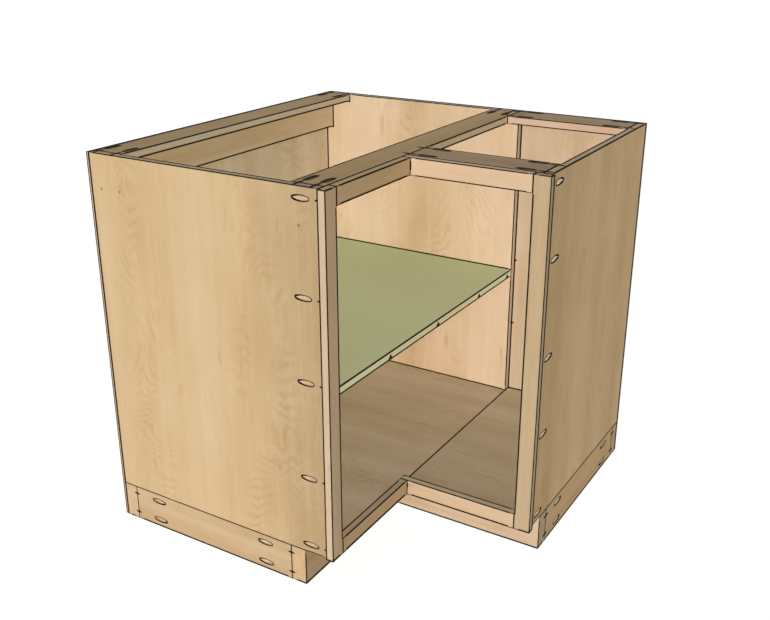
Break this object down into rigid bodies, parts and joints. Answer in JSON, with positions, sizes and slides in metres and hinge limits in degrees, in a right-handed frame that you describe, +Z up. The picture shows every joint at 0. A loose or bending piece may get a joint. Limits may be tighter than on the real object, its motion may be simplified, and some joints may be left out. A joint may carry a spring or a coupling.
{
  "type": "corner base cabinet",
  "caption": "Open inner-corner kitchen base cabinet: L-shaped plywood box with face frames, recessed plank base, top stretchers and a fixed shelf, joined with pocket screws.",
  "frame": {"origin": "on the floor, under the middle of the whole cabinet's outline", "axes": "+Z up; +X from the main back towards the return's outer side panel; +Y from the left side panel towards the second wall; the open inner corner faces +X and -Y"},
  "size_m": [0.9272, 0.9272, 0.8953],
  "materials": {
    "maple_plywood": "sanded bare maple-faced plywood",
    "maple_boards": "sanded bare solid maple",
    "base_planks": "planed softwood planks",
    "back_plywood": "thin sanded plywood",
    "green_shelf": "plywood with a matt green paint",
    "zinc_screws": "zinc-plated steel",
    "bright_nails": "bright steel wire"
  },
  "bodies": {
    "root": {"left_side_panel": "maple_plywood", "wall_side_panel": "maple_plywood", "right_side_panel": "maple_plywood", "main_bottom": "maple_plywood", "return_bottom": "maple_plywood", "back_stretcher": "maple_boards", "center_stretcher": "maple_boards", "return_front_stretcher": "maple_boards", "return_back_stretcher": "maple_boards", "wall_cleat": "maple_boards", "left_stile": "maple_boards", "right_stile": "maple_boards", "front_top_rail": "maple_boards", "front_bottom_rail": "maple_boards", "return_top_rail": "maple_boards", "return_bottom_rail": "maple_boards", "base_back_rail": "base_planks", "base_front_rail": "base_planks", "base_left_runner": "base_planks", "base_wall_runner": "base_planks", "base_return_rail": "base_planks", "base_wall_rail": "base_planks", "base_right_runner": "base_planks", "main_back": "back_plywood", "wall_back": "back_plywood", "shelf": "green_shelf", "stile_screws": "zinc_screws", "stretcher_screws": "zinc_screws", "cleat_screws": "zinc_screws", "bottom_screws": "zinc_screws", "shelf_screws": "zinc_screws", "frame_screws": "zinc_screws", "base_screws": "zinc_screws", "base_top_screws": "zinc_screws", "back_nails": "bright_nails"}
  },
  "joints": []
}
